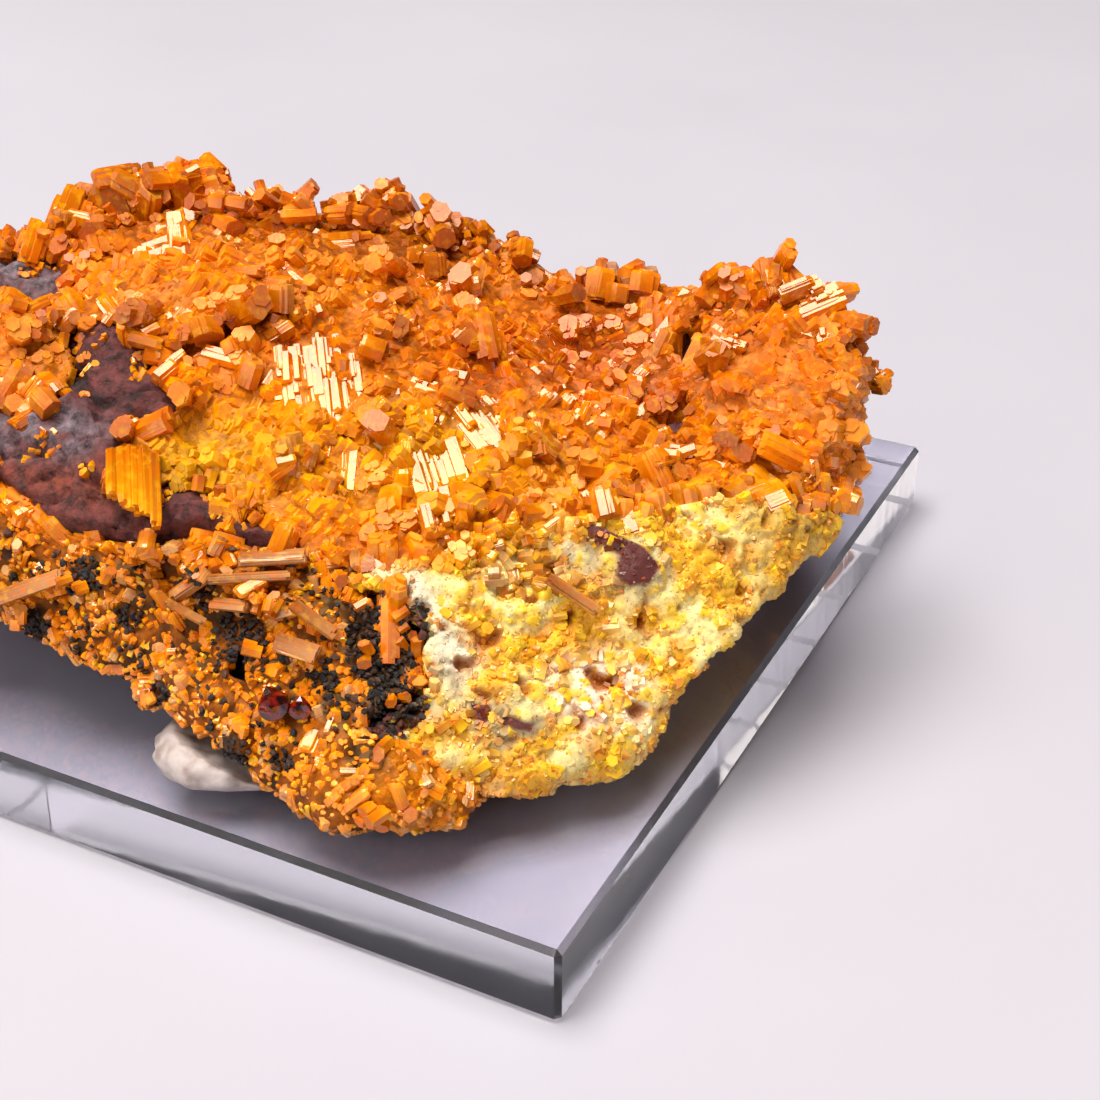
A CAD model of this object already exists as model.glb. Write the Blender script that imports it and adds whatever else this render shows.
"""A mimetite specimen on its clear acrylic display base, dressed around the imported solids.

The frame is in metres. The specimen has its own frame, in millimetres and turned on the base: x runs along it,
y from its front to its back, and z is the height above the table.
"""

import math

import bpy
import numpy as np
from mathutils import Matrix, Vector, noise
from mathutils.bvhtree import BVHTree


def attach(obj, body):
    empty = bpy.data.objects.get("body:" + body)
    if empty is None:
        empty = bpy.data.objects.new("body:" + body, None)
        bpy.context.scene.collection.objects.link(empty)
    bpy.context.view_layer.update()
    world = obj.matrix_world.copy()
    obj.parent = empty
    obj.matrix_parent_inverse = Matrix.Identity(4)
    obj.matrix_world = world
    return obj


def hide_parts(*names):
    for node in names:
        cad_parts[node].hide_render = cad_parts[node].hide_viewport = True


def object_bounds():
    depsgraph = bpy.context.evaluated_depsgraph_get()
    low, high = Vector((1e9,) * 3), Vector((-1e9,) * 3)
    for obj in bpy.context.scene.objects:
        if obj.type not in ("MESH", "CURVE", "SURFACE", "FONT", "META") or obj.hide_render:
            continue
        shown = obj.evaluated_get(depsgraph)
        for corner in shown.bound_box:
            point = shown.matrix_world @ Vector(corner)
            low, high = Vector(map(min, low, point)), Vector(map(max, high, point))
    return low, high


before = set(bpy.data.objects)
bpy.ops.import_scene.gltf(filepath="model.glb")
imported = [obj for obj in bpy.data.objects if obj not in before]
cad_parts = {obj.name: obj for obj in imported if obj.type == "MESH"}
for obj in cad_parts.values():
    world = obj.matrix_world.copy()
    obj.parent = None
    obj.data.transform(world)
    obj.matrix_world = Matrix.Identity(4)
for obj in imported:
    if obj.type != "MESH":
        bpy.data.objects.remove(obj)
cad_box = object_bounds()


# ----------------------------
# The camera looks down at the specimen's front, 17 cm from the middle of the base.
CAMERA_PLACE = (0.078984, -0.120283, 0.094377)
CAMERA_PITCH, CAMERA_TURN = math.radians(58.06), math.radians(26.83)
CAMERA_LENS, SENSOR = 63.107, 36

bpy.ops.object.select_all(action="DESELECT")
bpy.ops.object.camera_add(location=CAMERA_PLACE, rotation=(CAMERA_PITCH, 0, CAMERA_TURN))
camera = bpy.context.object
camera.data.lens = CAMERA_LENS
camera.data.sensor_width = SENSOR
camera.data.clip_start = 0.004
bpy.context.scene.camera = camera


# ----------------------------
# The display base is a square of cell-cast acrylic, sawn and then flame polished, with small chamfers.
# Its faces are clear and flat, the polished sides are a little wavy, and there is dust and fine wear on top.
MM = 0.001


def linear(colour):
    """A colour given as sRGB hex, in the linear light that the shaders use."""
    parts = [int(colour[i:i + 2], 16) / 255 for i in (1, 3, 5)]
    return (*(c / 12.92 if c <= 0.04045 else ((c + 0.055) / 1.055) ** 2.4 for c in parts), 1.0)


def per(size):
    """A texture's scale for features of this size in millimetres, on coordinates in metres."""
    return 1 / (size * MM)


def add_node(tree, kind, sockets=(), stops=(), **settings):
    """Adds a node with its settings. A socket takes a value or another node's output, and stops make a ramp."""
    node = tree.nodes.new("ShaderNode" + kind)
    for name, value in settings.items():
        setattr(node, name, value)
    for key, value in dict(sockets).items():
        if isinstance(value, bpy.types.NodeSocket):
            tree.links.new(value, node.inputs[key])
        else:
            node.inputs[key].default_value = value
    for i, (place, colour) in enumerate(stops):
        ramp = node.color_ramp
        stop = ramp.elements[i] if i < 2 else ramp.elements.new(place)
        stop.position = place
        stop.color = linear(colour) if isinstance(colour, str) else (colour, colour, colour, 1)
    return node


def finish(name, **values):
    """A material with its shader's own values set: (material, node tree, shader, place in metres)."""
    made = bpy.data.materials.new(name)
    made.use_nodes = True
    shader = made.node_tree.nodes["Principled BSDF"]
    for key, value in values.items():
        shader.inputs[key.replace("_", " ")].default_value = value
    return made, made.node_tree, shader, add_node(made.node_tree, "TexCoord").outputs["Object"]


def tinted(tree, shade):
    """The colours that the piece's vertices carry, multiplied by a pattern's shade."""
    both = {0: 1.0, 6: add_node(tree, "Attribute", attribute_name="tint").outputs["Color"], 7: shade.outputs["Color"]}
    return add_node(tree, "Mix", both, data_type="RGBA", blend_type="MULTIPLY").outputs[2]


def wire(shader, **outputs):
    """Links each output to the shader's socket of that name."""
    for key, output in outputs.items():
        shader.id_data.links.new(output, shader.inputs[key.replace("_", " ")])


acrylic, tree, shader, place = finish("polished_clear_acrylic", Base_Color=linear("#f3f3fb"), Transmission_Weight=1.0,
                                      IOR=1.49, Roughness=0.02)
smudge = add_node(tree, "TexNoise", {"Vector": place, "Scale": per(9), "Detail": 5.0, "Roughness": 0.65})
wear = add_node(tree, "MapRange", {
    "Value": smudge.outputs["Fac"], "From Min": 0.5, "From Max": 0.8, "To Min": 0.015, "To Max": 0.09})
stretched = add_node(tree, "Mapping", {"Vector": place, "Scale": (1, 1, 0.15)})
ripple = add_node(tree, "TexNoise", {"Vector": stretched.outputs["Vector"], "Scale": per(2.6), "Detail": 1.5})
facing = add_node(tree, "SeparateXYZ", {"Vector": add_node(tree, "NewGeometry").outputs["Normal"]})
upward = add_node(tree, "Math", {0: facing.outputs["Z"]}, operation="ABSOLUTE")
sideways = add_node(tree, "Math", {0: 1.0, 1: upward.outputs["Value"]}, operation="SUBTRACT")
wavy = add_node(tree, "Bump", {
    "Height": ripple.outputs["Fac"], "Strength": sideways.outputs["Value"], "Distance": 0.025 * MM})
wire(shader, Normal=wavy.outputs["Normal"])
# the chamfers were scraped, so they are frosted
scraped = add_node(tree, "Math", {0: upward.outputs["Value"], 1: 0.7, 2: 0.2}, operation="COMPARE")
worn = add_node(tree, "Mix", {0: scraped.outputs["Value"], 2: wear.outputs["Result"], 3: 0.5})
wire(shader, Roughness=worn.outputs[0])
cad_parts["acrylic_base"].material_slots[0].material = acrylic


# ----------------------------
# Three dabs of white mineral putty hold the specimen. Each was rolled, set on the base and pressed down by the
# stone, so it is matt, faintly pink, and creased where it bulged.
SPECIMEN_TURN = math.radians(26.8)
COS, SIN = math.cos(SPECIMEN_TURN), math.sin(SPECIMEN_TURN)
TO_FRAME = np.array([[COS, SIN, 0], [-SIN, COS, 0], [0, 0, 1]])


def deselect():
    if bpy.context.object and bpy.context.object.mode != "OBJECT":
        bpy.ops.object.mode_set(mode="OBJECT")
    bpy.ops.object.select_all(action="DESELECT")


def points_of(mesh):
    """A mesh's vertices in the specimen's frame, in millimetres."""
    points = np.empty(len(mesh.vertices) * 3)
    mesh.vertices.foreach_get("co", points)
    return points.reshape(-1, 3) @ TO_FRAME.T / MM


def normals_of(mesh):
    normals = np.empty(len(mesh.vertices) * 3)
    mesh.vertex_normals.foreach_get("vector", normals)
    return normals.reshape(-1, 3) @ TO_FRAME.T


def set_points(mesh, points):
    mesh.vertices.foreach_set("co", (points @ TO_FRAME * MM).ravel())
    mesh.update()


def skin_of(node, name, voxel, smoothing=0):
    """A copy of a solid, its loose triangles joined and remeshed as one fine skin."""
    deselect()
    skin = bpy.data.objects.new(name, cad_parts[node].data.copy())
    skin.data.materials.clear()
    bpy.context.scene.collection.objects.link(skin)
    bpy.context.view_layer.objects.active = skin
    skin.select_set(True)
    bpy.ops.object.mode_set(mode="EDIT")
    bpy.ops.mesh.select_all(action="SELECT")
    bpy.ops.mesh.remove_doubles(threshold=0.002 * MM)
    bpy.ops.mesh.normals_make_consistent(inside=False)
    bpy.ops.object.mode_set(mode="OBJECT")
    remesh = skin.modifiers.new("skin", "REMESH")
    remesh.mode = "VOXEL"
    remesh.voxel_size = voxel * MM
    bpy.ops.object.modifier_apply(modifier=remesh.name)
    if smoothing:
        smooth = skin.modifiers.new("smooth", "SMOOTH")
        smooth.iterations = smoothing
        bpy.ops.object.modifier_apply(modifier=smooth.name)
    return skin


def rough(points, size, offset=0.0):
    """Smooth noise from -1 to 1 at each point, with features of this size in millimetres."""
    return np.array([noise.noise(Vector(p)) for p in points / size + offset])


# Heights above the table, in millimetres, that keep skins and crystals off the base, whose top is at 6.35
LOWEST_SKIN, LOWEST_CRYSTAL = 7.1, 6.75

putty_white, tree, shader, place = finish("pressed_mineral_putty", Roughness=0.62, Subsurface_Weight=0.15,
                                          Subsurface_Scale=0.6 * MM)
tone = add_node(tree, "TexNoise", {"Vector": place, "Scale": per(1.6), "Detail": 5.0})
tones = add_node(tree, "ValToRGB", {"Fac": tone.outputs["Fac"]}, [
    (0.3, "#8f7f79"), (0.75, "#cfc4c0"), (0.5, "#b9aca7")])
wire(shader, Base_Color=tones.outputs["Color"])
crease = add_node(tree, "TexNoise", {"Vector": place, "Scale": per(0.5), "Detail": 6.0})
pressed = add_node(tree, "Bump", {"Height": crease.outputs["Fac"], "Strength": 0.5, "Distance": 0.12 * MM})
wire(shader, Normal=pressed.outputs["Normal"])

for node in ("putty_front", "putty_left", "putty_back"):
    dab = skin_of(node, node + "_pressed", 0.22, smoothing=3)
    points, normals = points_of(dab.data), normals_of(dab.data)
    creases = 0.16 * rough(points, 1.5) - 0.22 * (1 - np.abs(rough(points * (1, 1, 0.5), 2.6))) ** 6
    set_points(dab.data, points + normals * (creases * (points[:, 2] > 6.8))[:, None])
    dab.data.materials.append(putty_white)
    dab.data.shade_smooth()
    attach(dab, "root")
    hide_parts(node)


# ----------------------------
# The matrix is iron-stained rock: purple-brown massive hematite, worn smooth and waxy where it is bare, lilac grey
# where a thin frosting of quartz covers it, and black with manganese in its hollows. It broke naturally.
FACE_TILT = math.radians(32.0)
# Outlines on the front, which leans back by FACE_TILT: x along the specimen, then the distance up the face
BARE_ROCK = [(-22.6, 22.9), (-18.9, 22.3), (-15.6, 21.5), (-14.4, 19.4), (-11.5, 16.1), (-12.5, 14.6), (-15.3, 13.3),
             (-13.3, 11.4), (-11.6, 9.6), (-9, 8.5), (-5.6, 6.4), (-1, 4.8), (-4.5, 4.5), (-8.8, 5.6), (-13.5, 4.8),
             (-18.5, 5.4), (-21.9, 6.9), (-26.5, 9.6), (-31.5, 12.6), (-30.5, 15.6), (-21.7, 15.2), (-20.4, 18.5)]
FROSTED_ROCK = [(-37, 30.4), (-29.4, 30.1), (-24.1, 29.3), (-22.5, 26.1), (-24.8, 24.6), (-30.6, 24.3), (-37.5, 25.5)]
# How far the skin rises where the rock is bare, and sinks where the crust covers it, in millimetres
ROCK_RISE, ROCK_SINK = 1.5, 0.8
GREY_FROSTING = [(-30, 17), (-24, 16.2), (-19, 13.6), (-16, 12.6), (-19, 11.2), (-24, 11.6), (-30, 12)]
PALE_FROSTING = [(-40, 31), (-28, 31), (-23.5, 29.6), (-22.3, 26.6), (-25.2, 25.2), (-30, 25.4), (-40, 25)]
RED_BROWN = [(-26, 11.5), (-20, 11), (-15.5, 11.4), (-11, 8.6), (-14, 6.5), (-20, 7), (-26, 9)]


def up_face(points):
    """Each point's place on the front that leans back: along, and up the face."""
    return np.stack([points[:, 0], points[:, 1] * math.sin(FACE_TILT) + points[:, 2] * math.cos(FACE_TILT)], 1)


def within(outline, points, soft=0.5):
    """How far each point lies inside an outline on the front: 0 outside, 1 inside, soft at the edge."""
    spots = up_face(points)
    found = np.zeros(len(points), bool)
    nearest = np.full(len(points), 1e9)
    for (x0, y0), (x1, y1) in zip(outline, outline[1:] + outline[:1]):
        crosses = (y0 > spots[:, 1]) != (y1 > spots[:, 1])
        found ^= crosses & (spots[:, 0] < x0 + (spots[:, 1] - y0) * (x1 - x0) / ((y1 - y0) or 1e-9))
        side = np.array([x1 - x0, y1 - y0])
        along = np.clip((spots - (x0, y0)) @ side / (side @ side), 0, 1)
        nearest = np.minimum(nearest, np.linalg.norm(spots - (x0, y0) - along[:, None] * side, axis=1))
    return np.clip(0.5 + np.where(found, nearest, -nearest) / (2 * soft), 0, 1)


def mixed(colours, other, amount):
    """Each row of colours mixed with another colour by its amount."""
    other = np.array(linear(other)[:3] if isinstance(other, str) else other)
    return colours + (other - colours) * np.asarray(amount)[:, None]


def painted(colours, *layers):
    """Colours with each layer, (colour, amount), mixed over them in turn."""
    for colour, amount in layers:
        colours = mixed(colours, colour, amount)
    return colours


def set_tint(mesh, colours):
    """Stores a colour for each vertex, which the material reads."""
    tint = mesh.color_attributes.new("tint", "FLOAT_COLOR", "POINT")
    full = np.concatenate([np.clip(colours, 0, 1), np.ones((len(colours), 1))], 1)
    tint.data.foreach_set("color", full.ravel())


def bare_faces(points, soft):
    """How far each point lies on bare rock."""
    return np.maximum(within(BARE_ROCK, points, soft), within(FROSTED_ROCK, points, soft))


hematite, tree, shader, place = finish("bare_iron_stained_rock", IOR=1.5)
grain = add_node(tree, "TexNoise", {"Vector": place, "Scale": per(0.9), "Detail": 8.0, "Roughness": 0.75})
shade = add_node(tree, "ValToRGB", {"Fac": grain.outputs["Fac"]}, [(0.38, 0.14), (0.62, 1.0), (0.5, 0.62)])
wire(shader, Base_Color=tinted(tree, shade))
waxy = add_node(tree, "MapRange", {
    "Value": grain.outputs["Fac"], "From Min": 0.35, "From Max": 0.65, "To Min": 0.42, "To Max": 0.8})
wire(shader, Roughness=waxy.outputs["Result"])
fine = add_node(tree, "TexNoise", {"Vector": place, "Scale": per(0.3), "Detail": 6.0, "Roughness": 0.75})
worn = add_node(tree, "Bump", {"Height": fine.outputs["Fac"], "Strength": 0.9, "Distance": 0.3 * MM})
scales = add_node(tree, "TexVoronoi", {"Vector": place, "Scale": per(1.3), "Randomness": 1.0}, feature="F1")
flaked = add_node(tree, "Bump", {
    "Height": scales.outputs["Distance"], "Strength": 0.7, "Distance": 0.5 * MM, "Normal": worn.outputs["Normal"]})
wire(shader, Normal=flaked.outputs["Normal"])

rock = skin_of("matrix_stone", "bare_rock", 0.38, smoothing=1)
points, normals = points_of(rock.data), normals_of(rock.data)
lumps = 0.5 * rough(points, 3.2) + 0.35 * rough(points, 1.2) + 0.12 * rough(points, 0.7)
ridges = -0.9 * (1 - np.abs(rough(points * (0.6, 1, 1), 3.6, 9.0))) ** 10
ridges -= 0.7 * (1 - np.abs(rough(points * (1, 0.7, 1), 1.9, 2.0))) ** 8
bare = bare_faces(points, 1.2) * (normals[:, 1] < 0.4)
# where the crust covers it the stone stays well below, except on the underside, which rests on the putty
covered = (1 - bare) * np.clip(normals[:, 2] * 2 + 1.2, 0, 1)
set_points(rock.data, points + normals * (np.clip(lumps + ridges - 0.05, -1.1, 0.28) + ROCK_RISE * bare
                                          - ROCK_SINK * covered)[:, None])
colours = np.tile(linear("#80413f")[:3], (len(points), 1))
frosted = np.maximum(within(GREY_FROSTING, points, 1.2), within(PALE_FROSTING, points, 0.8))
colours = painted(
    colours,
    ("#a34c30", within(RED_BROWN, points, 2.0) * (0.6 + 0.6 * rough(points, 2.0)).clip(0, 1)),
    ("#a2919c", frosted * np.clip(0.75 + 1.2 * rough(points, 0.8), 0, 1)),
    ("#1d1719", np.clip(rough(points, 3.0, 4.0) * 3 - 0.9, 0, 1)),
    ("#2c2022", (up_face(points)[:, 1] < 4) * 0.8),
)
set_tint(rock.data, colours)
rock.data.materials.append(hematite)
rock.data.shade_smooth()
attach(rock, "root")
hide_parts("matrix_stone")


# ----------------------------
# The broken lower right of the front is massive mimetite, a granular mass of lemon yellow grains in cream white
# powder. Flakes of red hematite, grey quartz and spots of black oxide are embedded in it, flush with the break.
RED_FLAKES = [
    [(18, 6.6), (19.8, 6.2), (21.4, 5.4), (23, 4.7), (24.2, 3.2), (23.4, 2), (21.9, 1.8), (20.9, 2.6),
     (21.2, 4), (19.6, 5)],
    [(10.5, -6.3), (11.9, -6.6), (12, -7.6), (11.2, -8), (10.7, -7.3)],
    [(12.4, -7.2), (14.8, -7.9), (14.6, -8.5), (12.8, -8.1)],
    [(6.8, -9.5), (7.9, -9.4), (7.9, -10.1), (7, -10.3)],
    [(21.5, -11.2), (25, -9.2), (25.6, -10.2), (22, -12.4)],
]
GREY_QUARTZ = [
    [(15.5, 5.6), (19.8, 5.6), (24.8, 4.4), (25.2, 1.2), (21.6, 0.6), (18.8, 2.2), (16, 3.6)],
    [(10, -5.6), (13.4, -6), (15.6, -7.6), (15.4, -9.6), (12.6, -10.4), (10, -9)],
    [(8.4, -3), (10.6, -3.6), (9.6, -6.6), (7.6, -7.6), (6.8, -6)],
]
PINK_CREAM = [(16.2, -3.6), (20.4, -2.6), (23.4, -4.2), (22.8, -8), (18, -9), (15.4, -6.4)]
BLACK_OXIDE = [(1.2, 1.2), (4.4, 1.6), (7, 0.6), (7.6, -2.2), (6.6, -4.6), (7.9, -6), (6.8, -8.4), (3.6, -8.6),
               (3.2, -6.2), (1.4, -3.4)]
ORANGE_RIM = [(0, -8.6), (5, -9), (9, -11), (14.5, -12), (20, -12), (20, -18), (-2, -18)]
WHITE_SEAM = [(3, 3.4), (7, 3), (9.4, -0.6), (11.4, -3.4), (9.6, -5.6), (7.6, -3.8), (7.8, -1), (5.4, 1.2)]


def cells(points, size, offset=0.0):
    """For each point, its distance to the nearest grain's middle, and a number from -1 to 1 for that grain."""
    nearest, tone = np.empty(len(points)), np.empty(len(points))
    for i, p in enumerate(points / size + offset):
        distances, centres = noise.voronoi(Vector(p))
        nearest[i] = distances[0]
        tone[i] = noise.noise(centres[0] * 5.3)
    return nearest, tone


def oxide_faces(points):
    """How far each point lies in the black oxide, whose edge is ragged."""
    return within(BLACK_OXIDE, points + 0.9 * rough(points, 1.4)[:, None], 0.3)


granular, tree, shader, place = finish("broken_granular_mimetite", Roughness=0.5, IOR=1.6)
powder = add_node(tree, "TexNoise", {"Vector": place, "Scale": per(0.32), "Detail": 7.0, "Roughness": 0.75})
shade = add_node(tree, "ValToRGB", {"Fac": powder.outputs["Fac"]}, [(0.32, 0.5), (0.7, 1.0), (0.46, 0.95)])
wire(shader, Base_Color=tinted(tree, shade))
glint = add_node(tree, "TexVoronoi", {"Vector": place, "Scale": per(0.5)}, feature="F1")
glassy = add_node(tree, "MapRange", {
    "Value": glint.outputs["Distance"], "From Min": 0.1, "From Max": 0.6, "To Min": 0.22, "To Max": 0.75})
wire(shader, Roughness=glassy.outputs["Result"])
grained = add_node(tree, "Bump", {"Height": powder.outputs["Fac"], "Strength": 0.6, "Distance": 0.16 * MM})
wire(shader, Normal=grained.outputs["Normal"])

yellow_mass = skin_of("massive_mimetite", "granular_mass", 0.2)
points, normals = points_of(yellow_mass.data), normals_of(yellow_mass.data)
front = np.clip(-normals[:, 1] * 2 + 0.6, 0, 1)
distance, grain_tone = cells(points, 0.85)
coarse, coarse_tone = cells(points, 2.3, 3.0)
height = (0.14 * (0.55 - distance) + 0.3 * (0.5 - coarse) + 0.6 * rough(points, 1.9) + 0.3 * grain_tone
          + 0.16 * rough(points, 0.5)) * front
height -= 1.1 * np.clip(rough(points, 1.7, 14.0) * 3 - 1.1, 0, 1) * front
oxide = oxide_faces(points)
height -= oxide * (0.5 + 0.9 * np.abs(rough(points, 0.9)))
flake = np.max([within(outline, points, 0.12) for outline in RED_FLAKES], axis=0)
height = height * (1 - flake) + flake * 0.15
# its lower edge bulges outward
edge = 1.5 * np.exp(-(((points - (20.5, -33.0, 9.8)) / (8.0, 4.5, 4.5)) ** 2).sum(1))
moved = points + normals * (np.clip(height, -1.6, 0.45) + edge)[:, None]
moved[:, 2] = np.maximum(moved[:, 2], np.minimum(points[:, 2], LOWEST_SKIN))
set_points(yellow_mass.data, moved)

blotch = rough(points, 3.4, 7.0)
colours = np.tile(linear("#fbb80c")[:3], (len(points), 1))
quartz = np.max([within(outline, points, 0.8) for outline in GREY_QUARTZ], axis=0)
colours = painted(
    colours,
    ("#ffec9c", np.clip(0.45 + 2.6 * blotch + 0.8 * coarse_tone, 0, 1) * 0.95),
    ("#ffce14", np.clip(grain_tone * 3 - 0.1, 0, 1)),
    ("#f0a010", np.clip(rough(points, 1.3, 2.0) * 3 - 0.8, 0, 1) * 0.8),
    ("#fff6dc", within(WHITE_SEAM, points, 0.8) * 0.8),
    ("#ffe4c8", within(PINK_CREAM, points, 1.0) * np.clip(0.7 - 2 * grain_tone, 0, 0.9)),
    ("#b5a37c", quartz * np.clip(0.7 + 1.5 * rough(points, 1.0, 5.0), 0, 1) * 0.85),
    ("#b86408", np.clip(rough(points, 1.7, 14.0) * 4 - 1.3, 0, 0.9)),
    ("#e0861a", within(ORANGE_RIM, points, 1.2) * 0.75),
    ("#d9a31d", np.clip((points[:, 0] - 27) / 8, 0, 0.7)),
    ("#1c1210", oxide * np.clip(0.9 + rough(points, 0.7), 0, 1)),
    ("#5e1a12", flake),
)
set_tint(yellow_mass.data, colours)
yellow_mass.data.materials.append(granular)
yellow_mass.data.shade_smooth()
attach(yellow_mass, "root")
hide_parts("massive_mimetite")


# ----------------------------
# Under the crystals lies the druse that they grew from, a crust of massive amber mimetite a few millimetres thick.
# It is glassy and honey coloured on top, and black with manganese oxide along the lower front.
LOWER_FRONT = [(-60, 8), (-31, 12), (-26.5, 8.6), (-18.5, 4.6), (-8.8, 4.9), (-1, 4.2), (2.6, 4.2), (5, 0),
               (7.6, -5.4), (5, -9), (3, -30), (-60, -30)]
NOSE = [(-3, -10), (2.6, -7.6), (8, -9.8), (12.5, -11.4), (22, -12), (22, -30), (-8, -30), (-6, -12)]
# Where the druse is thicker or thinner: (x, y, z), reach, how much it rises
SWELLS = [
    ((-3.5, -36.5, 9.5), (3.5, 3.5, 3.5), 1.7), ((4.5, -39.4, 8.8), (5.4, 4.4, 4.2), 3),
    ((7, 11, 30), (9, 5, 5), -1.2), ((-8.5, 13, 31), (2.5, 4, 5), -1.5),
]
# Places on the front where the mimetite's colour changes: (along, up the face), reach along and up, colour, strength
COLOUR_SPOTS = [
    ((7.5, 12), (8, 4), "#ffb80c", 1), ((-5.5, 13), (6, 3.5), "#ffae0c", 0.9),
    ((0, 9.5), (5, 2.6), "#ffb20e", 0.8), ((17, 9.5), (7, 3), "#ffae0a", 0.8),
    ((-10, 11), (4.2, 3), "#f2c41a", 0.9), ((31, 7.5), (6, 2.2), "#ffcf20", 0.9),
    ((0.5, 25), (9, 3), "#f8960a", 0.7), ((-10, 25), (6, 3), "#f8960a", 0.7),
    ((19, 21), (7, 4.5), "#c25202", 0.9), ((25.5, 15.5), (3.4, 4), "#c65602", 0.8),
    ((11, 19), (4, 3), "#dc6403", 0.8), ((5, 31), (14, 2.5), "#b05c06", 0.9),
    ((-18, 33), (7, 3), "#bd6408", 0.8), ((28, 23), (5, 2.6), "#cc6806", 0.8),
    ((35, 18), (5, 6), "#f58808", 0.7), ((41.5, 12), (3, 9), "#ee9c10", 0.7),
    ((-22, 20.5), (3, 3), "#d88c12", 0.7),
]


def druse_colour(points, normals):
    """The mimetite's own colour at each point, which deepens and pales from place to place."""
    spots = up_face(points)
    colours = np.tile(linear("#ff9206")[:3], (len(points), 1))
    for centre, reach, colour, strength in COLOUR_SPOTS:
        off = (spots - centre) / reach
        colours = mixed(colours, colour, strength * np.exp(-(off ** 2).sum(1)))
    colours = colours * (0.94, 0.86, 0.8)
    hidden = np.clip(normals[:, 1] * 0.85 - normals[:, 2] * 0.53 + 0.1, 0, 1)
    colours = mixed(colours, "#e8880c", hidden)
    colours = mixed(colours, "#fa960c", within(LOWER_FRONT, points, 1.2) * 0.75)
    return mixed(colours, "#ff9c12", within(NOSE, points, 1.2) * 0.8)


bedrock, tree, shader, place = finish("amber_druse_bed", Roughness=0.45, IOR=1.6, Specular_Tint=linear("#ffb870"))
depth = add_node(tree, "TexNoise", {"Vector": place, "Scale": per(1.1), "Detail": 6.0, "Roughness": 0.7})
shade = add_node(tree, "ValToRGB", {"Fac": depth.outputs["Fac"]}, [
    (0.35, "#85786a"), (0.65, "#f4ecdc"), (0.5, "#b8aa98")])
wire(shader, Base_Color=tinted(tree, shade))
facets = add_node(tree, "TexVoronoi", {"Vector": place, "Scale": per(0.7)}, feature="F1")
sugary = add_node(tree, "Bump", {"Height": facets.outputs["Distance"], "Strength": 0.5, "Distance": 0.15 * MM})
wire(shader, Normal=sugary.outputs["Normal"])

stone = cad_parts["matrix_stone"].data
stone_surface = BVHTree.FromPolygons(points_of(stone).tolist(), [face.vertices[:] for face in stone.polygons])
# The stone is looked for from this far under the crust's surface, and counts when it is this near, in millimetres
UNDER_SURFACE, NEAR_STONE = 0.4, 1.6


def against_stone(point, normal):
    """Whether this place is on the crust's inner side, which lies against the stone, and how far off the stone is."""
    start = Vector(point) - UNDER_SURFACE * Vector(normal)
    nearest, _, _, distance = stone_surface.find_nearest(start)
    touching = distance < NEAR_STONE and (nearest - start).dot(Vector(normal)) > 0
    return touching, stone_surface.find_nearest(Vector(point))[3]


bed = skin_of("mimetite_crust", "druse_bed", 0.4, smoothing=2)
points, normals = points_of(bed.data), normals_of(bed.data)
inner_side, thickness = (np.array(found) for found in zip(*map(against_stone, points, normals)))
distance, grain_tone = cells(points, 1.3, 5.0)
height = 0.3 * (0.5 - distance) + 0.25 * rough(points, 2.0) + 0.15 * grain_tone - 0.15
height -= 0.6 * np.clip((points[:, 2] - 12) / 4, 0, 1)
height -= 0.5 * np.clip((points[:, 0] - 40) / 2, 0, 1)
for middle, reach, rise in SWELLS:
    height += rise * np.exp(-(((points - middle) / reach) ** 2).sum(1)) * np.clip((points[:, 2] - 7) / 1.5, 0, 1)
height = np.where(inner_side | (points[:, 2] < 7.2), 0, np.maximum(height, 0.6 - thickness))
moved = points + normals * height[:, None]
moved[:, 2] = np.maximum(moved[:, 2], np.minimum(points[:, 2], LOWEST_SKIN))
set_points(bed.data, moved)
colours = druse_colour(points, normals)
manganese = within(LOWER_FRONT, points, 0.8) * np.clip(0.2 + 2.5 * rough(points, 2.2, 8.0), 0, 1)
colours = painted(
    colours,
    ("#b4620a", within(LOWER_FRONT, points, 0.8)),
    ("#15100f", manganese),
    ("#2a1a10", np.clip(-normals[:, 2] * 2 - 0.6, 0, 0.7)),
    ("#1c1210", within(BLACK_OXIDE, points, 0.5)),
)
set_tint(bed.data, colours)
bed.data.materials.append(bedrock)
bed.data.shade_smooth()
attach(bed, "root")
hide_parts("mimetite_crust")


# ----------------------------
# Mimetite grows as six-sided prisms with flat or bevelled ends. One crystal is modelled for each habit, and each
# group of crystals is one mesh of them, because they grew together. Those that started as one stay parallel.
SIDES = 6
SEED = 11
BOX_MARGIN = 0.05 * MM
# Added to the second texture coordinate of a crystal's ends, so that the material can tell them from its sides: the
# coordinate is in millimetres, and no side's is past END_LEAST
END_MARK, END_LEAST = 900, 50
# Each side's texture coordinates are moved on by this, so that its growth lines differ from its neighbours'
FACE_SHIFT = 1.3
# A crystal's root next to its tip, and how much crystals differ from each other, both multiply the colour
ROOT_TINT, TONES = (0.6, 0.42, 0.3), (0.82, 1.12)
# How far crystals lean from straight out, least and most, in radians
LEANING, UPRIGHT, ANYHOW = (0.5, 1.3), (0.0, 0.9), (0.0, 3.1)
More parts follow.
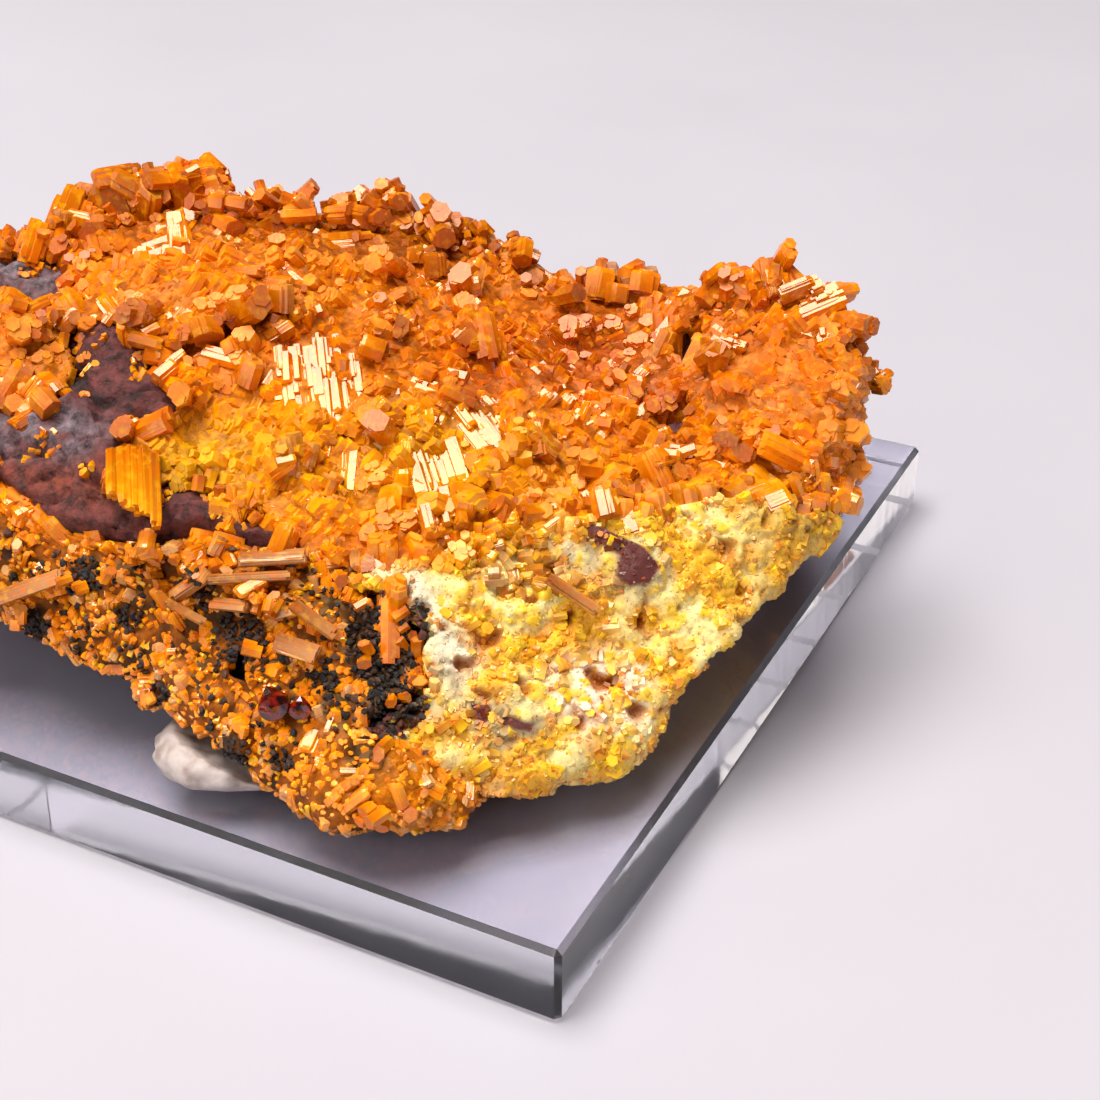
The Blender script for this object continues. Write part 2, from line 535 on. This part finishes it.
# Groups that grew parallel: (x, y, z), reach, the way their length runs, and the way one prism face turns
PARALLEL_GROUPS = [
    ((-1.5, -11.5, 28.8), 3.6, (0.15, -0.75, -0.6), (-0.02, -0.52, 0.86)),
    ((12, -13.5, 25.6), 2.6, (0.5, -0.6, -0.4), (-0.09, -0.50, 0.86)),
    ((8.5, -18.5, 24.4), 2.6, (0.3, -0.8, -0.5), (-0.07, -0.49, 0.87)),
    ((-9.5, -9.5, 30.6), 1.6, (0.8, -0.4, 0.2), (0.02, -0.52, 0.85)),
    ((24.5, -14.5, 24.2), 1.6, (0.9, -0.2, -0.1), (-0.15, -0.49, 0.86)),
    ((7.7, -23.5, 22.6), 1.4, (0.2, -0.8, -0.5), (-0.06, -0.47, 0.88)),
    ((36.4, -3, 31), 2.6, (0.9, 0.3, 0.1), (-0.22, -0.53, 0.82)),
    ((31.1, -5, 29.2), 1.6, (0.8, -0.5, 0.1), (-0.19, -0.53, 0.83)),
    ((37.1, -7.5, 29.6), 1.6, (0.1, -0.7, -0.6), (-0.22, -0.52, 0.83)),
    ((-16.4, 5.9, 32.6), 2, (0.8, 0.3, 0.2), (0.05, -0.56, 0.83)),
]


def form_of(model):
    """A model's points, its triangles, and each corner's place on the face that it belongs to."""
    mesh = model.data
    form = np.array([v.co[:] for v in mesh.vertices])
    triangles = np.array([face.vertices[:] for face in mesh.polygons])
    sides = []
    for face in mesh.polygons:
        flat = abs(face.normal.z) > 0.9
        across = Vector((1, 0, 0)) if flat else Vector((-face.normal.y, face.normal.x, 0)).normalized()
        number = round(math.atan2(face.normal.y, face.normal.x) / math.radians(360 / SIDES))
        for i in face.vertices:
            corner = mesh.vertices[i].co
            sides.append((corner.dot(across) + FACE_SHIFT * number, corner.y + END_MARK if flat else corner.z))
    bpy.data.objects.remove(model, do_unlink=True)
    return form, triangles, np.array(sides)


def crystal_form(bevel, taper):
    """One crystal, of radius 1 and length 1 along z, its upper end bevelled and drawn in."""
    deselect()
    bpy.ops.mesh.primitive_cylinder_add(vertices=SIDES, radius=1, depth=1)
    model = bpy.context.object
    top = [v.co.z > 0 for v in model.data.vertices]
    for vert, chosen in zip(model.data.vertices, top):
        vert.select = chosen
    for part in (*model.data.edges, *model.data.polygons):
        part.select = all(top[i] for i in part.vertices)
    bpy.ops.object.mode_set(mode="EDIT")
    bpy.ops.transform.resize(value=(taper, taper, 1))
    if bevel:
        bpy.ops.mesh.bevel(offset=bevel, segments=1, affect="EDGES")
    bpy.ops.mesh.select_all(action="SELECT")
    bpy.ops.mesh.quads_convert_to_tris()
    bpy.ops.object.mode_set(mode="OBJECT")
    return form_of(model)


def unit(vectors):
    return vectors / np.maximum(np.linalg.norm(vectors, axis=-1, keepdims=True), 1e-9)


def turned(axes, twists):
    """A rotation for each crystal: its length lies along the axis, twisted about it."""
    aside = np.where(np.abs(axes[:, :1]) < 0.7, np.array([[1.0, 0, 0]]), np.array([[0, 1.0, 0]]))
    first = unit(np.cross(axes, aside))
    second = np.cross(axes, first)
    c, s = np.cos(twists)[:, None], np.sin(twists)[:, None]
    return np.stack([first * c + second * s, second * c - first * s, axes], 2)


def laid(group_axis, face_way):
    """The axis and twist that put one prism face of a crystal along face_way, as near its axis as that allows."""
    face_way = unit(np.array(face_way, float))
    axis = np.array(group_axis, float)
    axis = unit(axis - face_way * (axis @ face_way))
    frames = turned(axis[None], np.zeros(1))[0]
    return axis, math.atan2(face_way @ frames[:, 1], face_way @ frames[:, 0])


def joined_crystals(name, form, grown, material):
    """All the crystals of a group as one mesh. grown has their places, axes, twists, radii, breadths, lengths and
    tints."""
    places, axes, twists, radii, breadths, lengths, tints = grown
    base, triangles, sides = form
    size = np.stack([radii, breadths, lengths], 1)
    local = base[None] * size[:, None]
    points = np.einsum("nij,nvj->nvi", turned(axes, twists), local) + places[:, None]
    world = points @ TO_FRAME * MM
    # a crystal that would reach out of the solids' box, or down to the base, is left out
    low, high = np.array(cad_box) + np.array([[1], [-1]]) * BOX_MARGIN
    clear = (world > low).all((1, 2)) & (world < high).all((1, 2))
    clear &= points[:, :, 2].min(1) > LOWEST_CRYSTAL
    world, tints, size = world[clear], tints[clear], size[clear]
    count = len(world)
    mesh = bpy.data.meshes.new(name)
    every = (triangles[None] + len(base) * np.arange(count)[:, None, None]).reshape(-1, 3)
    mesh.from_pydata(world.reshape(-1, 3), [], every)
    root = (tints * ROOT_TINT)[:, None]
    rise = np.clip(base[:, 2] + 0.5, 0, 1)[None, :, None] ** 0.75
    set_tint(mesh, (root + (tints[:, None] - root) * rise).reshape(-1, 3))
    growth = mesh.uv_layers.new(name="growth")
    growth.data.foreach_set("uv", (sides[None] * size[:, None, [0, 2]]).ravel())
    mesh.materials.append(material)
    group = bpy.data.objects.new(name, mesh)
    bpy.context.scene.collection.objects.link(group)
    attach(group, "root")
    return group


def glassy_crystal(name, roughness, veiled):
    """Mimetite has a resinous, near diamond-like lustre, with fine growth lines along its prism faces."""
    made, tree, shader, place = finish(name, IOR=1.72, Specular_Tint=linear("#fff0dc"))
    growth = add_node(tree, "UVMap", uv_map="growth")
    tint = add_node(tree, "Attribute", attribute_name="tint")
    cloud = add_node(tree, "TexNoise", {"Vector": place, "Scale": per(0.8), "Detail": 2.0, "Roughness": 0.6})
    veil = add_node(tree, "MapRange", {
        "Value": cloud.outputs["Fac"], "From Min": 0.5, "From Max": 0.72, "To Min": 0.0, "To Max": veiled})
    pale = add_node(tree, "Mix", {
        0: veil.outputs["Result"], 6: tint.outputs["Color"], 7: linear("#fcb414")}, data_type="RGBA")
    depth = add_node(tree, "MapRange", {
        "Value": cloud.outputs["Fac"], "From Min": 0.28, "From Max": 0.48, "To Min": 0.55, "To Max": 0.0})
    zoned = add_node(tree, "Mix", {
        0: depth.outputs["Result"], 6: pale.outputs[2], 7: linear("#e46c04")}, data_type="RGBA")
    wire(shader, Base_Color=zoned.outputs[2])
    # growth lines are finer than a tenth of a millimetre, drawn here a quarter of a millimetre apart so that they show
    lines = add_node(tree, "Mapping", {"Vector": growth.outputs["UV"], "Scale": (1 / 0.26, 1 / 2.4, 1)})
    striae = add_node(tree, "TexNoise", {"Vector": lines.outputs["Vector"], "Scale": 1.0, "Detail": 1.0})
    stepped = add_node(tree, "Bump", {"Height": striae.outputs["Fac"], "Strength": 0.5, "Distance": 0.06 * MM})
    wire(shader, Normal=stepped.outputs["Normal"])
    etched = add_node(tree, "MapRange", {"Value": cloud.outputs["Fac"], "From Min": 0.35, "From Max": 0.7,
                                         "To Min": roughness, "To Max": roughness + 0.1})
    along = add_node(tree, "SeparateXYZ", {"Vector": growth.outputs["UV"]})
    at_end = add_node(tree, "Math", {0: along.outputs["Y"], 1: END_LEAST}, operation="GREATER_THAN")
    dull = add_node(tree, "Mix", {0: at_end.outputs["Value"], 2: etched.outputs["Result"], 3: 0.45})
    wire(shader, Roughness=dull.outputs[0])
    return made


blunt = crystal_form(0.14, 1.0)
plain = crystal_form(0.0, 0.96)
honey = glassy_crystal("honey_mimetite_crystals", 0.05, 0.6)
tan = glassy_crystal("brown_orange_mimetite_crystals", 0.1, 0.35)


def ground_of(piece, tint=None):
    """The faces of a piece that crystals can stand on: their middles, which way they face, and their colours."""
    mesh = piece.data
    middles, facing = np.empty(len(mesh.polygons) * 3), np.empty(len(mesh.polygons) * 3)
    mesh.polygons.foreach_get("center", middles)
    mesh.polygons.foreach_get("normal", facing)
    middles = middles.reshape(-1, 3) @ TO_FRAME.T / MM
    facing = unit(facing.reshape(-1, 3) @ TO_FRAME.T)
    if tint is not None:
        return middles, facing, tint(middles, facing)
    colours = np.empty(len(mesh.vertices) * 4)
    mesh.color_attributes["tint"].data.foreach_get("color", colours)
    corners = np.array([face.vertices[0] for face in mesh.polygons])
    return middles, facing, colours.reshape(-1, 4)[corners, :3]


def spread_out(middles, spacing, allowed, rng):
    """Faces about this far apart, one in each cell of a grid."""
    order = rng.permutation(np.flatnonzero(allowed))
    cell = np.floor(middles[order] / spacing + rng.random(3)).astype(int)
    return order[np.unique(cell, axis=0, return_index=True)[1]]


def bundled(grown, strands, rng):
    """A thick crystal is several strands grown side by side, each a little longer or shorter."""
    places, axes, twists, radii, breadths, lengths, tints = grown
    frames = turned(axes, twists)
    parts = [grown]
    for _ in range(strands - 1):
        angle = rng.uniform(0, 2 * math.pi, len(places))
        shift = (frames[:, :, 0] * np.cos(angle)[:, None] * radii[:, None]
                 + frames[:, :, 1] * np.sin(angle)[:, None] * breadths[:, None]) * 0.55
        thin = radii * rng.uniform(0.4, 0.75, len(places))
        broad = breadths * rng.uniform(0.4, 0.8, len(places))
        parts.append([places + shift, axes, twists, thin, broad, lengths * rng.uniform(0.88, 1.18, len(places)),
                      tints * rng.uniform(*TONES, (len(places), 1))])
    return [np.concatenate(group) for group in zip(*parts)]


def crystals_on(ground, allowed, spacing, radius, stand, wild, cluster, rng, strands=1, stretch=(1.5, 2.8), odd=None,
                deeper=(1, 1, 1)):
    """Crystals over part of a piece, in millimetres: how far apart, their radii, and how far they stand out of it.

    Those of one cluster lie nearly parallel, and wild is how far they lean. stretch is their length to their radius,
    odd is a second colour and its share, and deeper multiplies the colour.
    """
    middles, facing, tints = ground
    spots = spread_out(middles, spacing, allowed, rng)
    seeds = spread_out(middles, cluster, allowed, rng)
    away = unit(np.cross(facing[seeds], rng.normal(size=(len(seeds), 3))))
    lean = rng.uniform(*wild, len(seeds))[:, None]
    seed_axes = facing[seeds] * np.cos(lean) + away * np.sin(lean)
    seed_twists = rng.uniform(0, 2, len(seeds))
    nearest = np.array([np.argmin(((middles[seeds] - c) ** 2).sum(1)) for c in middles[spots]])
    axes = unit(seed_axes[nearest] + 0.04 * rng.normal(size=(len(spots), 3)))
    normals = facing[spots]
    axes = unit(axes + normals * np.clip(0.15 - (axes * normals).sum(1), 0, None)[:, None])
    twists = seed_twists[nearest] + 0.04 * rng.normal(size=len(spots))
    for middle, span, group_axis, face_way in PARALLEL_GROUPS:
        axis, twist = laid(group_axis, face_way)
        near = np.linalg.norm(middles[spots] - middle, axis=1) < span
        axes[near] = unit(axis + 0.02 * rng.normal(size=(near.sum(), 3)))
        twists[near] = twist + 0.02 * rng.normal(size=near.sum())
    sunk = np.abs((axes * normals).sum(1))
    radii = rng.uniform(*radius, len(spots))
    breadths = radii * rng.uniform(0.6, 1.0, len(spots))
    lengths = radii * rng.uniform(*stretch, len(spots))
    reach = 0.5 * lengths * sunk + radii * np.sqrt(1 - np.clip(sunk, 0, 1) ** 2) * 0.9
    places = middles[spots] + normals * (rng.uniform(*stand, len(spots)) - reach)[:, None]
    tints = tints[spots] * deeper * rng.uniform(*TONES, (len(seeds), 1))[nearest]
    tints = tints * rng.uniform(*TONES, (len(spots), 1))
    if odd:
        colour, share = odd
        tints = mixed(tints, colour, (rng.random(len(spots)) < share) * rng.uniform(0.5, 1, len(spots)))
    return bundled([places, axes, twists, radii, breadths, lengths, tints], strands, rng)


def gathered(*groups):
    return [np.concatenate(part) for part in zip(*groups)]


def near_spots(middles, spots):
    """Whether each place lies on the front within reach of one of these: ((along, up the face), reach)."""
    found = np.zeros(len(middles), bool)
    for centre, reach in spots:
        found |= np.linalg.norm(up_face(middles) - centre, axis=1) < reach
    return found


# Black manganese oxide fills these hollows of the lower front, and no crystals cover it: (along, up the face), reach
DARK_HOLLOWS = [((-6, -1.8), 2), ((-12, -6), 0.9), ((-2.4, -10.3), 0.8), ((-6.1, -9.5), 1.1),
                ((4.6, -2.2), 3), ((5, -6.4), 1.8), ((-18, 2.5), 1.4), ((-22, -1), 1.1), ((-9.5, 2), 1),
                ((0.4, -5), 1), ((-14.5, -0.6), 0.9), ((-27, 3), 1.4)]

rng = np.random.default_rng(SEED)
druse = ground_of(bed, druse_colour)
centres, outward, _ = druse
inner = inner_side[np.array([face.vertices[0] for face in bed.data.polygons])]
fronting = outward[:, 1] < 0.4
bare = bare_faces(centres, 1.0) * fronting
growing = (bare < 0.25) & ~inner
on_lower = (within(LOWER_FRONT, centres, 0.6) * fronting) > 0.5
on_nose = (within(NOSE, centres, 0.6) * fronting) > 0.5
lower_side = (within(LOWER_FRONT, centres, 0.6) > 0.5) | (within(NOSE, centres, 0.6) > 0.5)
upper = growing & ~lower_side & (outward[:, 2] > -0.2) & (centres[:, 2] > 12)
top_side = upper & (outward[:, 1] < 0.75) & (centres[:, 0] < 39)
crest = (centres[:, 1] > 4) & (centres[:, 0] > -12)
glowing = top_side & ~crest & (np.abs(up_face(centres) - (7, 11)) < (17, 5)).all(1)
coarse_druse = gathered(
    crystals_on(druse, top_side & ~crest, 2.2, (0.6, 1.1), (0.2, 0.9), LEANING, 7.0, rng, strands=5,
                stretch=(2.6, 4.4)),
    crystals_on(druse, glowing, 1.5, (0.7, 1.15), (0.1, 0.5), LEANING, 8.0, rng, strands=2, stretch=(2.6, 4.4)),
)
joined_crystals("upper_druse", blunt, coarse_druse, honey)
joined_crystals("upper_druse_middling", plain, crystals_on(
    druse, top_side, 1.3, (0.45, 0.85), (0.0, 0.45), LEANING, 6.0, rng, stretch=(2.4, 4.0)), honey)
joined_crystals("upper_druse_fine", plain, crystals_on(
    druse, top_side, 0.85, (0.25, 0.5), (-0.05, 0.2), LEANING, 5.0, rng, deeper=(0.74, 0.62, 0.5)), honey)
behind = upper & ~top_side
back_druse = gathered(
    crystals_on(druse, behind, 2.4, (0.6, 1.2), (0.1, 0.6), LEANING, 5.0, rng, strands=3),
    crystals_on(druse, behind, 1.2, (0.35, 0.7), (0.1, 0.5), LEANING, 4.0, rng),
)
joined_crystals("back_druse", blunt, back_druse, tan)

below = growing & (on_lower | on_nose) & (rough(centres, 2.4, 3.0) > -0.5) & ~near_spots(centres, DARK_HOLLOWS)
lower_crust = gathered(
    crystals_on(druse, below, 1.4, (0.35, 0.7), (0.1, 0.6), LEANING, 3.0, rng, strands=3, stretch=(2.0, 3.6),
                odd=("#d8a468", 0.2)),
    crystals_on(druse, below, 0.8, (0.16, 0.34), (0.1, 0.4), LEANING, 2.4, rng, stretch=(2.0, 3.5),
                odd=("#ffc41c", 0.3)),
)
joined_crystals("lower_crust", blunt, lower_crust, tan)
under = growing & ~upper & ~on_lower & ~on_nose
stray_ground = ground_of(rock, druse_colour)
stray = (bare_faces(stray_ground[0], 0.1) > 0.9) & (stray_ground[1][:, 1] < 0.3)
stray &= rough(stray_ground[0], 2.6, 21.0) > 0.32
joined_crystals("stray_rock_crystals", plain, crystals_on(
    stray_ground, stray, 0.9, (0.18, 0.42), (0.15, 0.5), LEANING, 2.0, rng, strands=2, odd=("#ffb40c", 0.4)), honey)
joined_crystals("underside_crust", plain, crystals_on(
    druse, under, 1.5, (0.3, 0.6), (0.1, 0.4), UPRIGHT, 3.0, rng), tan)


# ----------------------------
# Some crystals stand out by themselves: the blocks along the back, a greyish pair in the saddle, a sheaf of five that
# lies on the bare rock, and thin brown ones like splinters of wood below it. Each is a bundle of parallel strands.
# (x, y, z), the way the length runs, radius, breadth to radius, length
BACK_BLOCKS = [
    ((-25, 12, 30.2), (0.2, 0.1, 1), 1.4, 0.9, 3.6), ((-21.5, 14.2, 31.8), (-0.4, 0.2, 1), 1.7, 0.9, 3.8),
    ((-18.2, 13.4, 32), (0.3, -0.3, 1), 1.5, 0.8, 3.8), ((-14.8, 14.4, 32.4), (-0.2, 0.1, 1), 1.8, 0.9, 3.6),
    ((-12.4, 13.8, 31), (0.5, 0.1, 1), 1.5, 0.8, 3.4), ((-5, 12.2, 29.6), (0.2, 0.1, 1), 1.2, 0.9, 3.4),
    ((-1.2, 12.6, 29.2), (-0.6, 0.1, 1), 1.3, 0.9, 3.2), ((2.6, 12.8, 29.6), (0.1, -0.2, 1), 1.9, 0.9, 3.6),
    ((6.6, 11.4, 28.3), (0.5, 0.2, 1), 1.4, 0.9, 3.2), ((10.2, 10.4, 27.5), (0.3, -0.4, 1), 1.5, 0.9, 3.2),
    ((14, 9, 26.8), (0.7, 0.2, 1), 1.4, 0.8, 3.2),
]
SADDLE_PAIR = [
    ((20.6, 8.2, 27.5), (0.9, -0.1, 0.3), 1.1, 0.8, 3), ((23.8, 7.2, 27.5), (0.95, 0.2, 0.2), 1, 0.7, 3.2),
]
FAN = [
    ((-15.8, -20.1, 24.4), (0.1, -0.84, -0.52), 0.56, 0.8, 3.8),
    ((-15, -20.4, 24.3), (0.13, -0.84, -0.52), 0.62, 0.8, 4.6),
    ((-14.2, -20.6, 24.2), (0.12, -0.85, -0.52), 0.6, 0.8, 5),
    ((-13.4, -20.9, 24.1), (0.14, -0.85, -0.51), 0.62, 0.8, 5.2),
    ((-12.6, -21.4, 23.8), (0.12, -0.85, -0.52), 0.5, 0.8, 5.6),
]
SPLINTERS = [
    ((-3.6, -26.4, 21.1), (1, 0, 0.08), 0.45, 1.3, 4.4), ((-5.2, -27.4, 20), (1, 0.05, 0.03), 0.34, 1.3, 5.2),
    ((-22, -24.4, 17.2), (1, 0.1, 0.35), 0.45, 1.5, 4.6), ((-9.9, -28.2, 17.6), (0.9, -0.2, -0.45), 0.3, 1.2, 2.8),
    ((-0.4, -30.3, 18.4), (0.8, -0.3, -0.5), 0.42, 1.3, 3.4), ((-1.6, -31.7, 16.9), (0.9, -0.2, -0.2), 0.5, 1.5, 3),
    ((-9.6, -27, 19), (0.8, 0.2, 0.5), 0.55, 1, 2.6), ((-6.6, -28.6, 18.4), (0.9, -0.3, 0.1), 0.4, 1.2, 2.4),
    ((17.9, -27.6, 18.7), (0.82, -0.25, -0.5), 0.42, 1.2, 3.8),
]


def single_crystals(rows, colour, strands, rng, twist=0.0):
    places, axes, radii, breadths, lengths = (np.array(column, float) for column in zip(*rows))
    tints = np.tile(linear(colour)[:3], (len(rows), 1)) * rng.uniform(0.9, 1.05, (len(rows), 1))
    twists = twist + rng.uniform(-0.12, 0.12, len(rows))
    return bundled([places, unit(axes), twists, radii, radii * breadths, lengths, tints], strands, rng)


joined_crystals("back_blocks", blunt, single_crystals(BACK_BLOCKS, "#bd6806", 6, rng, 0.5), honey)
joined_crystals("saddle_pair", blunt, single_crystals(SADDLE_PAIR, "#b98a6a", 4, rng), tan)
joined_crystals("rock_fan", blunt, single_crystals(FAN, "#f59a0a", 7, rng, 0.45), honey)
joined_crystals("splinter_crystals", plain, single_crystals(SPLINTERS, "#c98a52", 11, rng), tan)


# ----------------------------
# The yellow mass broke into sharp grains, and a vug near its top is lined with brown crystals. Its outer rim runs
# into small orange crystals.
VUG = [((14, 3.4), 2.3)]
FRINGE = [(2, 3.8), (5, 3.4), (9, 3.4), (12, 4.6), (17, 6.4), (20, 7.6), (27, 9), (27, 13), (2, 13)]
BREAK_RIM = [(27, 8), (38, 8), (41, 4), (34, -6), (24, -13), (14, -14), (2, -9), (2, -16), (30, -20), (50, 0), (40, 12),
             (27, 10)]
grains = glassy_crystal("broken_mimetite_grains", 0.3, 0.0)
mass_ground = ground_of(yellow_mass)
break_at, break_way, _ = mass_ground
broken = (break_way[:, 1] < 0.2) & (break_at[:, 2] > 7.4)
vug = broken & near_spots(break_at, VUG)
rim = broken & (within(BREAK_RIM, break_at, 1.0) > 0.5)
fringe = broken & ~vug & (within(FRINGE, break_at, 1.6) > 0.5 + 0.5 * rough(break_at, 1.8, 6.0))
clean_break = broken & ~vug & ~fringe & (oxide_faces(break_at) < 0.4)
powdery = rough(break_at, 3.4, 7.0) > 0.06
joined_crystals("mass_grains", plain, gathered(
    crystals_on(mass_ground, clean_break & ~powdery, 1.3, (0.3, 0.6), (0.05, 0.4), ANYHOW, 1.6, rng, stretch=(1.2, 2.6),
                odd=("#ffcc0c", 0.5)),
    crystals_on(mass_ground, clean_break & ~powdery, 0.8, (0.2, 0.4), (0.02, 0.25), ANYHOW, 1.0, rng,
                stretch=(0.9, 1.8), odd=("#e89208", 0.4)),
    crystals_on(mass_ground, clean_break, 0.5, (0.1, 0.22), (0.0, 0.12), ANYHOW, 0.6, rng, stretch=(0.9, 1.8)),
), grains)
joined_crystals("mass_crystals", blunt, gathered(
    crystals_on(mass_ground, vug, 1.0, (0.35, 0.8), (0.3, 0.9), LEANING, 2.0, rng, strands=2, odd=("#b0660c", 0.8)),
    crystals_on(mass_ground, fringe, 0.9, (0.35, 0.7), (0.2, 0.8), LEANING, 3.0, rng, strands=2, stretch=(2.0, 3.5),
                odd=("#ffa20c", 1.0)),
    crystals_on(mass_ground, rim & ~vug & ~fringe, 0.8, (0.25, 0.5), (0.1, 0.4), LEANING, 2.0, rng,
                odd=("#f08a08", 0.5)),
), honey)


# ----------------------------
# Manganese oxide grew as black, sooty crumbs in the hollows of the lower front, some with a blue bloom. Beside them
# sits a pair of dark red glassy crystals.
GARNETS = [((-3.1, -34.4, 14), 1.25), ((-1.2, -34.9, 14), 0.85)]


def round_form(subdivisions, roughness):
    """A knobbly ball of radius 1."""
    deselect()
    bpy.ops.mesh.primitive_ico_sphere_add(subdivisions=subdivisions, radius=1)
    model = bpy.context.object
    for vert in model.data.vertices:
        vert.co *= 1 + roughness * noise.noise(vert.co * 1.7)
    return form_of(model)


sooty, tree, shader, place = finish("black_manganese_oxide", IOR=1.5)
tint = add_node(tree, "Attribute", attribute_name="tint")
soot = add_node(tree, "TexNoise", {"Vector": place, "Scale": per(0.25), "Detail": 6.0, "Roughness": 0.7})
wire(shader, Base_Color=tint.outputs["Color"])
sheen = add_node(tree, "MapRange", {
    "Value": soot.outputs["Fac"], "From Min": 0.35, "From Max": 0.65, "To Min": 0.4, "To Max": 0.9})
wire(shader, Roughness=sheen.outputs["Result"])
pitted = add_node(tree, "Bump", {"Height": soot.outputs["Fac"], "Strength": 0.8, "Distance": 0.08 * MM})
wire(shader, Normal=pitted.outputs["Normal"])

crumb = round_form(1, 0.9)
black = (centres, outward, np.tile(linear("#1b1512")[:3], (len(centres), 1)))
hollows = ~inner & fronting & near_spots(centres, DARK_HOLLOWS) & (bare < 0.5)
scattered = below & ~on_nose & (rough(centres, 1.6, 12.0) < -0.22)
black_mass = (break_at, break_way, np.tile(linear("#33201a")[:3], (len(break_at), 1)))
joined_crystals("manganese_crumbs", crumb, gathered(
    crystals_on(black, hollows, 0.42, (0.14, 0.34), (0.1, 0.6), ANYHOW, 1.0, rng, stretch=(0.8, 1.6),
                odd=("#4a2c1e", 0.35)),
    crystals_on(black, scattered, 1.0, (0.15, 0.35), (0.2, 0.5), ANYHOW, 1.0, rng, stretch=(0.8, 1.6),
                odd=("#5a3a28", 0.4)),
    crystals_on(black_mass, broken & (oxide_faces(break_at) > 0.5), 0.5, (0.14, 0.36), (0.1, 0.5), ANYHOW, 1.0,
                rng, stretch=(0.8, 1.6), odd=("#6b3826", 0.45)),
), sooty)

red_glass, tree, shader, place = finish("dark_red_glassy_crystal", IOR=1.8, Transmission_Weight=0.25)
ember = add_node(tree, "TexNoise", {"Vector": place, "Scale": per(0.7), "Detail": 3.0})
embers = add_node(tree, "ValToRGB", {"Fac": ember.outputs["Fac"]}, [(0.4, "#260503"), (0.7, "#a82008")])
wire(shader, Base_Color=embers.outputs["Color"])
polish = add_node(tree, "MapRange", {"Value": ember.outputs["Fac"], "To Min": 0.05, "To Max": 0.2})
wire(shader, Roughness=polish.outputs["Result"])
garnet = round_form(2, 0.35)
spots, radii = np.array([place for place, _ in GARNETS]), np.array([radius for _, radius in GARNETS])
joined_crystals("red_pair", garnet, [spots, unit(spots), radii, radii, radii * 0.9, radii,
                                     np.ones((len(radii), 3))], red_glass)


# ----------------------------
# The studio: a pale matt sweep of paper in a dark room, lit by a soft box overhead, a broad weaker panel in front
# and a small one at the right. The room pales towards the floor, where the paper's light reaches its walls.
FLOOR_DROP = 0.02


def soft_box(name, place, size, radiance, colour, aim=(0, 0, 0.015)):
    """A square panel light that gives this radiance, aimed at the specimen."""
    deselect()
    bpy.ops.object.light_add(type="AREA", location=place)
    panel = bpy.context.object
    panel.name = name
    panel.data.shape = "SQUARE"
    panel.data.size = size
    panel.data.energy = radiance * math.pi * size ** 2
    panel.data.color = linear(colour)[:3]
    panel.rotation_euler = (Vector(aim) - Vector(place)).to_track_quat("-Z", "Y").to_euler()


soft_box("overhead_box", (-0.104, -0.052, 0.80), 0.56, 10.8, "#fffaf4")
soft_box("front_panel", (-0.2, -0.62, 0.30), 0.9, 1.4, "#fff6ee")
soft_box("right_panel", (0.55, 0.05, 0.30), 0.35, 0.8, "#fdf6ff")

world = bpy.data.worlds.new("studio_walls")
bpy.context.scene.world = world
world.use_nodes = True
world.cycles.sampling_method = "NONE"
tree = world.node_tree
height = add_node(tree, "SeparateXYZ", {"Vector": add_node(tree, "TexCoord").outputs["Generated"]})
walls = add_node(tree, "ValToRGB", {"Fac": height.outputs["Z"]}, [(0.02, "#b4b2bd"), (0.5, "#2c2b31")])
tree.links.new(walls.outputs["Color"], tree.nodes["Background"].inputs["Color"])

paper, tree, shader, place = finish("matt_paper_sweep", Roughness=0.9)
fibre = add_node(tree, "TexNoise", {"Vector": place, "Scale": per(60), "Detail": 3.0})
tones = add_node(tree, "ValToRGB", {"Fac": fibre.outputs["Fac"]}, [(0.3, "#b9b7c0"), (0.7, "#bebcc5")])
wire(shader, Base_Color=tones.outputs["Color"])
deselect()
bpy.ops.mesh.primitive_plane_add(size=12, location=(0, 0, -FLOOR_DROP * MM))
floor = bpy.context.object
floor.name = "paper_sweep"
floor.data.materials.append(paper)
scene = bpy.context.scene
scene.view_settings.view_transform = "Standard"
# light runs back and forth inside the base, so it needs many bounces, and nothing may blur what it brings
scene.cycles.max_bounces = 10
scene.cycles.diffuse_bounces = 2
scene.cycles.glossy_bounces = 8
scene.cycles.transmission_bounces = 10
scene.cycles.blur_glossy = 0.0
